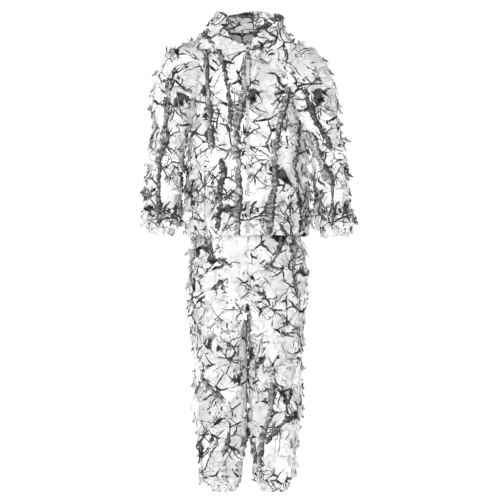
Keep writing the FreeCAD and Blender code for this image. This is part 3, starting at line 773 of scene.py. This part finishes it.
def arm_grid(side):
    cols = np.array(ARM).T
    fine = np.linspace(0, 12, 241)
    path = np.stack([curve(cols[0], cols[1], fine), curve(cols[0], cols[2], fine)], 1)
    between = (np.arange(241) % 240 != 0)[:, None]
    path += 0.5 * (np.roll(path, 1, 0) + np.roll(path, -1, 0) - 2 * path) * between
    run = np.concatenate([[0], np.cumsum(np.linalg.norm(np.diff(path, axis=0), axis=1))])
    even = np.linspace(0, run[-1], 112)
    t = np.interp(even, run, fine)
    cx, cz, r1, r2 = (curve(cols[0], cols[i], t) for i in range(1, 5))
    tangent = np.stack([np.gradient(cx), np.gradient(cz)], 1)
    for _ in range(6):
        tangent[1:-1] = (tangent[:-2] + tangent[2:] + 2 * tangent[1:-1]) / 4
    tangent /= np.linalg.norm(tangent, axis=1, keepdims=True)
    out = np.stack([-tangent[:, 1], tangent[:, 0]], 1)
    a = np.linspace(0, TAU, 96, endpoint=False)[None] - math.pi
    x = cx[:, None] + out[:, :1] * r1[:, None] * np.sin(a)
    z = cz[:, None] + out[:, 1:] * r1[:, None] * np.sin(a)
    y = 0.005 - r2[:, None] * np.cos(a) + 0 * x
    q = -0.113 + (run[-1] - even)
    P = np.stack([x, y, z], -1)
    g = Grid(P, np.stack(np.broadcast_arrays(side * 0.062 * a, q[:, None]), -1), True)
    seed = 20 if side > 0 else 30
    bend = np.exp(-((q - 0.17) / 0.07) ** 2)[:, None]
    low = ease(-q, -0.02, 0.075)[:, None]
    fold = 0.0040 * waves(P, seed, 0.12, (1, 1, 0.7), 6, 0.4)
    fold = fold + 0.0018 * waves(P, seed + 1, 0.05, (1, 1, 1), 6)
    fold = fold + 0.0035 * bend * waves(P, seed + 2, 0.055, (.5, .6, 1.7), 5, 0.6)
    pleat = 0.0038 * low * np.sin(17 * a + 1.4 * np.sin(3 * a + seed) + 8 * q[:, None])
    bulge = 0.004 * np.exp(-((q + 0.055) / 0.03) ** 2)[:, None]
    g.push(fold + pleat + bulge)
    g.P[..., 0] -= side * 0.001
    if side < 0:
        g.P[..., 0] *= -1
        g.P[..., 2] += 0.004 * ease(-q, 0.0, 0.10)[:, None]
    else:
        g.P[..., 2] -= 0.006 * ease(-q, -0.05, 0.10)[:, None]
    g.P[..., 0] += lean_left(np.minimum(q, 0.56))[:, None] * 1.3
    if side < 0:
        g.P, g.pq = g.P[:, ::-1], g.pq[:, ::-1]
    g.N = normals(g.P, True)
    return g, q


ARM_FRONT = {
    1: [([(.195, .365), (.23, .265), (.28, .19)], .011, .0, 1),
        ([(.22, .215), (.24, .15), (.275, .07)], .02, .95, 1),
        ([(.285, .08), (.285, -.08)], .0075, .3, 1),
        ([(.2, .45), (.235, .42), (.25, .38)], .0045, .1, 1),
        ([(.25, .3), (.3, .31)], .0028, .1, 1),
        ([(.26, .235), (.31, .25)], .003, .1, 1),
        ([(.235, -.03), (.26, -.07), (.3, -.06)], .0045, .0, 1),
        ([(.25, .02), (.29, .04)], .003, .2, 1),
        ([(.225, .06), (.24, .02), (.25, -.04)], .009, .75, -1)],
    -1: [([(-.27, .4), (-.27, .3), (-.29, .2), (-.28, .17)], .01, .6, 1),
         ([(-.27, .21), (-.295, .15), (-.3, .05), (-.3, -.07)], .0115, .15, 1),
         ([(-.24, .365), (-.22, .26), (-.19, .16)], .0042, .3, 1),
         ([(-.23, .46), (-.28, .41)], .004, .1, 1),
         ([(-.3, .13), (-.33, .14)], .0035, .1, 1),
         ([(-.28, -.03), (-.25, -.05), (-.23, -.08)], .005, .05, 1),
         ([(-.33, -.06), (-.3, -.09), (-.26, -.08)], .005, .0, 1),
         ([(-.26, .09), (-.235, .03)], .004, .2, 1)]}
for label, side in (("left", 1), ("right", -1)):
    grid, q = arm_grid(side)
    woods = wood(31 + side, -.1, .5, (.10, .26), .05) + wood(34 + side, -.1, .5, (-.26, -.12), .05)
    arm_trees = [on_front(grid, *row) for row in ARM_FRONT[side]] + woods
    mid = int(np.argmin(np.abs(q - 0.285)))
    cuff = int(np.argmin(np.abs(q + 0.090)))
    last = len(q) - 1
    quiet = lambda base, s=side: np.where((base[:, 0] * s < 0.245) & (base[:, 2] < 0.33), 0.25, 1.0)
    upper = grid.part((0, mid))
    shoulder = ("jacket", "sleeve_" + label, (side * .130, 0, .460), (side * .230, 0, .348))
    dress("sleeve_" + label, upper, JACKET, arm_trees, shoulder, ["sleeve_" + label],
          ["sleeve_leaves_" + label], SLOTS, 71 + side, calm=quiet)
    lower = grid.part((mid, cuff))
    elbow = ("sleeve_" + label, "forearm_" + label, (side * .273, .005, .245), (side * .273, .005, .095))
    dress("forearm_" + label, lower, JACKET, arm_trees, elbow, ["forearm_" + label],
          ["forearm_leaves_" + label], SLOTS, 74 + side, calm=quiet)
    dress("cuff_" + label, grid.part((cuff, last)), JACKET, arm_trees, "forearm_" + label,
          ["cuff_casing_" + label], [], SLOTS, 81 + side, lift=0.5, size=0.6, calm=quiet)

# ------------------------------------------------------------------ trousers


def leg_grid(side):
    z = np.concatenate([np.linspace(.015, -.955, 150), np.linspace(-.959, -.985, 7)])
    nu = 112
    b = np.arange(nu) / nu
    split = 0.62
    _, py, prx, pry = ring(PELVIS, np.maximum(z, -.36))
    cx, cy, rx, ry = ring(LEG, np.minimum(z, -.28))
    w = ease(-z, .30, .47)[:, None]
    theta = np.where(b < split, math.pi * b / split, 0)[None]
    inner = (b >= split)[None]
    along = np.clip((b - split) / (1 - split), 0, 1)[None]
    dx = np.where(inner, 0.0, (prx[:, None] + .001) * np.sin(theta))
    dy = py[:, None] + np.where(inner, pry[:, None] * np.cos(math.pi * along), -pry[:, None] * np.cos(theta))
    start, end = math.radians(-52), math.radians(232)
    phi = np.where(b < split, start + (end - start) * b / split, 0)[None]
    phi = np.where(inner, end + (math.radians(308) - end) * along, phi)
    ex = cx[:, None] + rx[:, None] * np.sin(phi)
    ey = cy[:, None] - ry[:, None] * np.cos(phi)
    x = dx + (ex - dx) * w
    y = dy + (ey - dy) * w
    P = np.stack([x, y, np.broadcast_to(z[:, None], x.shape)], -1)
    hop = np.linalg.norm(np.diff(P[:, :, :2], axis=1), axis=2)
    arc = np.concatenate([np.zeros((len(z), 1)), np.cumsum(hop, 1)], 1)
    g = Grid(P, np.stack([side * arc, P[..., 2]], -1), True)
    seed = 40 if side > 0 else 60
    away = ease(np.abs(x), 0.0, 0.03)
    knee = np.exp(-((z + .66) / .09) ** 2)[:, None]
    fold = 0.0045 * waves(P, seed, 0.17, (1.1, 1, 0.5), 6, 0.4)
    fold = fold + 0.0020 * waves(P, seed + 1, 0.07, (1, 1, .9), 6)
    fold = fold + 0.003 * knee * waves(P, seed + 2, 0.07, (.5, .6, 1.6), 5, 0.6)
    star = np.exp(-((z + .37) / .06) ** 2)[:, None] * np.exp(-(x / .06) ** 2) * (y < 0)
    fold = fold + 0.005 * star * np.sin(14 * np.arctan2(z[:, None] + .37, x + 0.01) + seed)
    low = ease(-z, .89, .96)[:, None]
    turn = np.arctan2(x - cx[:, None], -(y - cy[:, None]))
    pleat = 0.0050 * low * (1 - 0.4 * ease(-z, .965, .985)[:, None]) * np.sin(
        15 * turn + 1.3 * np.sin(3 * turn + seed) - 9 * z[:, None])
    bulge = 0.004 * np.exp(-((z + .925) / .03) ** 2)[:, None]
    g.push((fold + pleat + bulge) * np.where(z[:, None] > -.30, away, np.maximum(away, .3)))
    g.P[..., 0] = np.maximum(g.P[..., 0], np.where(z[:, None] > -.34, 0.0, 0.0012))
    if side < 0:
        g.P[..., 0] *= -1
        g.P, g.pq = g.P[:, ::-1], g.pq[:, ::-1]
    g.N = normals(g.P, True)
    return g, z, nu


def gap_skip(side, nu, first, z):
    """Leaves out the hidden wall between the halves above the crotch."""
    split = int(0.62 * nu) + 1

    def skip(i, j):
        b = j if side > 0 else nu - 1 - j - 1
        b = b % nu
        return z[first + i + 1] > -.345 and split <= b < nu - 1
    return skip


LEG_FRONT = [
    ([(-.14, -.125), (-.125, -.175), (-.105, -.195), (-.065, -.215)], .0075, .35, 1),
    ([(-.065, -.215), (-.04, -.205), (-.015, -.215)], .004, .1, 1),
    ([(.005, -.21), (.05, -.225)], .003, .1, 1),
    ([(.11, -.13), (.1, -.18), (.065, -.22)], .0085, .2, 1),
    ([(.065, -.22), (.115, -.23)], .0065, .2, 1),
    ([(-.11, -.29), (-.09, -.275)], .011, .3, 1),
    ([(.005, -.3), (.025, -.305), (.05, -.31)], .0035, .0, 1),
    ([(.04, -.31), (.05, -.315)], .007, .1, 1),
    ([(.005, -.325), (.015, -.34), (.03, -.36)], .004, .0, 1),
    ([(.095, -.315), (.095, -.345), (.075, -.365)], .0055, .2, 1),
    ([(.05, -.255), (.095, -.31)], .003, .1, 1),
    ([(-.005, -.37), (-.03, -.365), (-.095, -.365)], .0052, .0, 1),
    ([(-.04, -.345), (-.015, -.39)], .0045, .0, 1),
    ([(.005, -.365), (.03, -.38)], .0045, .0, 1),
    ([(.13, -.365), (.175, -.345)], .0052, .2, 1),
    ([(.095, -.435), (.125, -.415), (.185, -.425)], .0038, .1, 1),
    ([(-.08, -.47), (-.05, -.495), (-.01, -.48)], .0042, .0, 1),
    ([(.01, -.475), (.03, -.485), (.01, -.525)], .0042, .0, 1),
    ([(-.05, -.535), (-.02, -.54), (-.03, -.585)], .005, .0, 1),
    ([(.01, -.525), (.02, -.61)], .006, .2, 1),
    ([(.025, -.56), (.05, -.535)], .01, .1, 1),
    ([(-.045, -.535), (-.145, -.585)], .0032, .1, 1),
    ([(.07, -.565), (.115, -.55), (.165, -.56)], .0034, .1, 1),
    ([(.08, -.56), (.085, -.595), (.08, -.68), (.07, -.74), (.05, -.795), (.04, -.88)], .0115, .75, 1),
    ([(.095, -.61), (.115, -.63), (.16, -.67)], .0045, .1, 1),
    ([(.165, -.71), (.105, -.76), (.065, -.81)], .0095, .1, 1),
    ([(.115, -.49), (.13, -.525), (.165, -.565)], .0032, .1, 1),
    ([(-.15, -.605), (-.09, -.67)], .01, .7, 1),
    ([(-.065, -.8), (-.08, -.845)], .009, .3, 1),
    ([(-.16, -.74), (-.08, -.75)], .0032, .1, 1),
    ([(-.115, -.8), (-.145, -.85), (-.09, -.84)], .0042, .05, 1),
    ([(.11, -.785), (.105, -.845), (.09, -.885)], .0048, .1, 1),
    ([(-.165, -.925), (-.125, -.91), (-.065, -.9)], .0038, .05, 1),
    ([(-.08, -.915), (-.075, -.965), (-.06, -.98)], .0048, .05, 1),
    ([(.03, -.915), (.065, -.91), (.1, -.915)], .0036, .05, 1),
    ([(.055, -.935), (.075, -.965), (.105, -.96)], .0058, .0, 1),
    ([(.14, -.15), (.15, -.175), (.17, -.17)], .0058, .0, 1),
    ([(.145, -.19), (.13, -.23)], .004, .1, 1),
    ([(.15, -.12), (.155, -.26), (.165, -.31)], .009, .35, -1),
    ([(-.175, -.14), (-.19, -.26), (-.18, -.35)], .0075, .45, 1),
    ([(-.17, -.42), (-.15, -.5), (-.165, -.58)], .0045, .2, 1),
    ([(-.1, -.4), (-.14, -.44), (-.18, -.43)], .0034, .1, 1),
    ([(.12, -.27), (.15, -.29), (.18, -.28)], .0042, .1, 1),
    ([(-.12, -.64), (-.1, -.7), (-.13, -.76)], .0034, .1, 1),
    ([(-.16, -.85), (-.15, -.8), (-.17, -.74)], .004, .1, 1),
]
for label, side in (("left", 1), ("right", -1)):
    grid, z, nu = leg_grid(side)
    leg_trees = [on_front(grid, *row) for row in LEG_FRONT if row[0][0][0] * side > 0]
    leg_trees += wood(41 + side, -.95, -.1, (side * .24, .52) if side > 0 else (-.52, -.24), .075)
    band = int(np.argmin(np.abs(z + .020)))
    mid = int(np.argmin(np.abs(z + .535)))
    hem = int(np.argmin(np.abs(z + .957)))
    last = len(z) - 1
    low = lambda base: np.where(np.abs(base[:, 0]) < 0.035, 0.15, 1.0)
    hip = ("trousers", "leg_" + label, (0, 0, -.355), (side * .0849, 0, -.4399))
    knee = ("leg_" + label, "shin_" + label, (side * .095, .003, -.575), (side * .095, .003, -.750))
    top = grid.part((band, mid))
    leaf_nodes = ["thigh_leaves_" + label] + (["seat_leaves"] if side < 0 else [])
    dress("trouser_top_" + label, top, TROUSER, leg_trees, hip,
          ["seat_panel_" + label, "thigh_" + label], leaf_nodes, SLOTS, 91 + side,
          calm=low, skip=gap_skip(side, nu, band, z))
    dress("trouser_leg_" + label, grid.part((mid, hem)), TROUSER, leg_trees, knee,
          ["shin_" + label], ["shin_leaves_" + label], SLOTS, 94 + side, calm=low)
    dress("ankle_" + label, grid.part((hem, last)), TROUSER, leg_trees, "shin_" + label,
          ["ankle_casing_" + label], [], SLOTS, 97 + side, lift=0.4, size=0.6, calm=low)
    dress("waist_" + label, grid.part((0, band)), TROUSER, leg_trees, "trousers",
          [], None, SLOTS, 99, skip=gap_skip(side, nu, 0, z))
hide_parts("waistband")

# ------------------------------------------------------------------ zip

LEAN = math.radians(3.205)


def on_zip(x, y, z):
    """A point in the zip's own leaning frame, millimetres to metres."""
    return Vector((x, -124 + y * math.cos(LEAN) + z * math.sin(LEAN),
                   -118 - y * math.sin(LEAN) + z * math.cos(LEAN))) / 1000


for label, side in (("left", 1), ("right", -1)):
    verts, faces = [], []
    for k in range(240):
        low = 11 + k * 2.6 + (1.3 if side < 0 else 0)
        if low > 631:
            break
        base = len(verts)
        tooth = [(-.6, 0, .55), (.7, 0, .75), (1.6, 0, .95), (3.3, 0, .95)]
        for x, _, h in tooth:
            for y, dz in ((-2.1, -h * .7), (-2.1, h * .7), (0.1, h * .7), (0.1, -h * .7)):
                verts.append(on_zip(side * x, y, low + dz))
        for c in range(3):
            for e in range(4):
                p, n = base + 4 * c + e, base + 4 * c + (e + 1) % 4
                faces.append((p, n, n + 4, p + 4) if side > 0 else (p, p + 4, n + 4, n))
        faces.append(tuple(base + e for e in (3, 2, 1, 0)))
        faces.append(tuple(base + 12 + e for e in (0, 1, 2, 3)))
    teeth = mesh_object("zip_teeth_" + label, verts, faces, TEETH, smooth=False)
    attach(teeth, "jacket")
    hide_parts("zip_chain_" + label)

for node, material in {
    "zip_tape_left": TAPE, "zip_tape_right": TAPE, "zip_top_stops": TEETH, "zip_end_box": TEETH,
    "wind_flap": JACKET, "hanger_loop": WEBBING, "zip_slider": METAL, "zip_pull": METAL,
    "hem_elastic": ELASTIC, "waist_elastic": ELASTIC, "cuff_elastic_left": ELASTIC,
    "cuff_elastic_right": ELASTIC, "ankle_elastic_left": ELASTIC, "ankle_elastic_right": ELASTIC,
}.items():
    obj = bpy.data.objects[node]
    obj.data.materials.clear()
    obj.data.materials.append(TAPE if material is JACKET else material)

# ------------------------------------------------------------------ floor, light and camera


def stage_object(name, verts, faces, value):
    m, bsdf, *_ = shader(name + "_paint")
    bsdf.inputs["Base Color"].default_value = (value, value, value, 1)
    bsdf.inputs["Roughness"].default_value = 0.9
    bsdf.inputs["Emission Color"].default_value = (1, 1, 1, 1)
    bsdf.inputs["Emission Strength"].default_value = 0.48
    obj = mesh_object(name, verts, faces, m)
    return obj


FLOOR = -1.075
stage_object("floor", [(-9, -9, FLOOR), (9, -9, FLOOR), (9, 9, FLOOR), (-9, 9, FLOOR)], [(0, 1, 2, 3)], 0.92)

world = bpy.data.worlds.new("studio")
bpy.context.scene.world = world
world.use_nodes = True
nodes = world.node_tree.nodes
lit = nodes["Background"]
lit.inputs[0].default_value = (1, 1, 1, 1)
lit.inputs[1].default_value = 0.60
seen = nodes.new("ShaderNodeBackground")
seen.inputs[1].default_value = 1.0
seen.inputs[0].default_value = (1, 1, 1, 1)
rays = nodes.new("ShaderNodeLightPath")
either = nodes.new("ShaderNodeMixShader")
for a, b in ((rays.outputs["Is Camera Ray"], either.inputs[0]), (lit.outputs[0], either.inputs[1]),
             (seen.outputs[0], either.inputs[2]), (either.outputs[0], nodes["World Output"].inputs[0])):
    world.node_tree.links.new(a, b)


def area(name, place, target, size, power):
    light = bpy.data.lights.new(name, "AREA")
    light.shape, light.size, light.size_y, light.energy = "RECTANGLE", size[0], size[1], power
    obj = bpy.data.objects.new(name, light)
    bpy.context.scene.collection.objects.link(obj)
    obj.location = place
    obj.rotation_euler = (Vector(target) - Vector(place)).to_track_quat("-Z", "Y").to_euler()


area("front", (-.6, -5.2, 1.2), (0, 0, -.1), (2.2, 2.6), 130)
area("key", (-2.2, -3.4, 1.6), (0, 0, -.1), (1.6, 1.6), 26)
area("back_left", (2.8, 3.6, 1.6), (0, 0, -.1), (2.2, 2.2), 70)
area("back_right", (-2.8, 3.6, 1.2), (0, 0, -.1), (2.2, 2.2), 60)

camera = bpy.data.cameras.new("camera")
camera.sensor_width = 36
camera.lens = 36 * 7.0 / 1.70
view = bpy.data.objects.new("camera", camera)
bpy.context.scene.collection.objects.link(view)
view.location = (0.007, -7.0, -0.14)
view.rotation_euler = (Vector((0.007, 0, -.166)) - view.location).to_track_quat("-Z", "Y").to_euler()
bpy.context.scene.camera = view
bpy.context.scene.view_settings.view_transform = "Standard"

bpy.context.view_layer.update()
